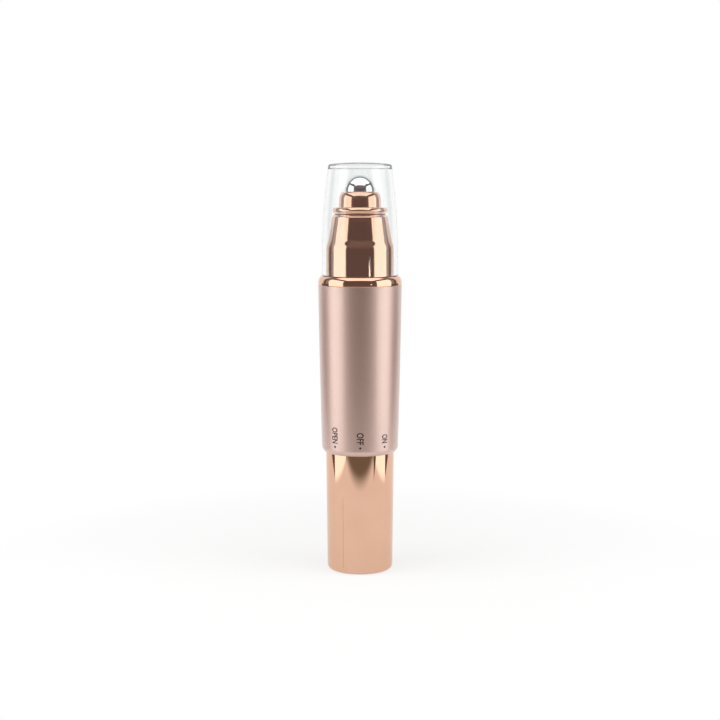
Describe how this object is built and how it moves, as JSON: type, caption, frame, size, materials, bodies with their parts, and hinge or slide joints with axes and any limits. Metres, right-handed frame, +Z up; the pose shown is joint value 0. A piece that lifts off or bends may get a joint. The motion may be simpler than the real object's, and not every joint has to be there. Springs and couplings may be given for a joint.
{
  "type": "heated eye massager wand",
  "caption": "Slim upright massager wand: a warm rolling steel ball in a mirror nozzle under a clear tapered cap, with a satin twist sleeve on a mirror barrel.",
  "frame": {"origin": "middle of the flat base that the wand stands on", "axes": "+Z up along the wand's axis to the cap, -Y towards the printed switch positions, +X to their right"},
  "size_m": [0.0278, 0.0278, 0.136],
  "materials": {
    "polished_rose_gold": "mirror-polished rose-gold anodised aluminium",
    "dark_nylon": "moulded black nylon",
    "seal_rubber": "black silicone rubber",
    "contact_brass": "stamped brass",
    "spring_steel": "nickel-plated spring steel",
    "cell_wrap": "dark printed wrap on a steel can",
    "white_acetal": "moulded white acetal",
    "satin_rose_gold": "satin rose-gold anodised aluminium with printed legends",
    "frame_plastic": "moulded dark grey plastic",
    "board_laminate": "green glass-fibre laminate",
    "board_components": "moulded black component bodies",
    "boot_rubber": "dark grey silicone rubber",
    "motor_steel": "drawn nickel-plated steel",
    "screw_steel": "zinc-plated steel",
    "gasket_rubber": "dark brown silicone rubber",
    "retainer_steel": "turned stainless steel",
    "cup_aluminium": "turned aluminium",
    "heater_ceramic": "white ceramic",
    "bead_epoxy": "brown epoxy bead",
    "peek_plastic": "heat-proof cream plastic",
    "wire_insulation": "silicone-rubber insulation",
    "weight_tungsten": "sintered metal",
    "ball_steel": "polished bearing steel",
    "clear_cap": "clear moulded acrylic, polished"
  },
  "bodies": {
    "barrel": {"barrel_shell": "polished_rose_gold", "battery_tube": "dark_nylon", "seal_ring": "seal_rubber", "negative_strip": "contact_brass", "battery_spring": "spring_steel", "battery_cell": "cell_wrap"},
    "selector": {"selector_ring": "white_acetal", "wiper": "contact_brass", "detent_leaf": "spring_steel"},
    "handle": {"sleeve": "satin_rose_gold", "bayonet_ring": "white_acetal", "inner_frame": "frame_plastic", "contact_board": "board_laminate", "switch_track": "contact_brass", "positive_contact": "contact_brass", "circuit_board": "board_laminate", "board_parts": "board_components", "motor_boot": "boot_rubber", "motor_can": "motor_steel", "frame_screws": "screw_steel", "collar_ring": "polished_rose_gold", "nozzle": "polished_rose_gold", "neck_gasket": "gasket_rubber", "ball_ferrule": "polished_rose_gold", "ball_retainer": "retainer_steel", "heat_cup": "cup_aluminium", "heater_ring": "heater_ceramic", "thermistor": "bead_epoxy", "heater_holder": "peek_plastic", "heater_wires": "wire_insulation", "motor_wires": "wire_insulation", "cell_wires": "wire_insulation"},
    "motor_rotor": {"motor_shaft": "spring_steel", "eccentric_weight": "weight_tungsten"},
    "ball": {"roller_ball": "ball_steel"},
    "cap": {"cap": "clear_cap"}
  },
  "joints": [
    {"name": "head_pull", "type": "slide", "parent": "barrel", "child": "selector", "axis": [0, 0, 1], "range_m": [0, 0.06]},
    {"name": "selector_twist", "type": "hinge", "parent": "selector", "child": "handle", "pos_m": [0, 0, 0.05], "axis": [0, 0, -1], "range_deg": [0, 80]},
    {"name": "cap_lift", "type": "slide", "parent": "handle", "child": "cap", "axis": [0, 0, 1], "range_m": [0, 0.045]},
    {"name": "ball_roll", "type": "hinge", "parent": "handle", "child": "ball", "pos_m": [0, 0, 0.12675], "axis": [1, 0, 0], "continuous": true},
    {"name": "motor_spin", "type": "hinge", "parent": "handle", "child": "motor_rotor", "pos_m": [0, 0, 0.1], "axis": [0, 0, 1], "continuous": true}
  ]
}
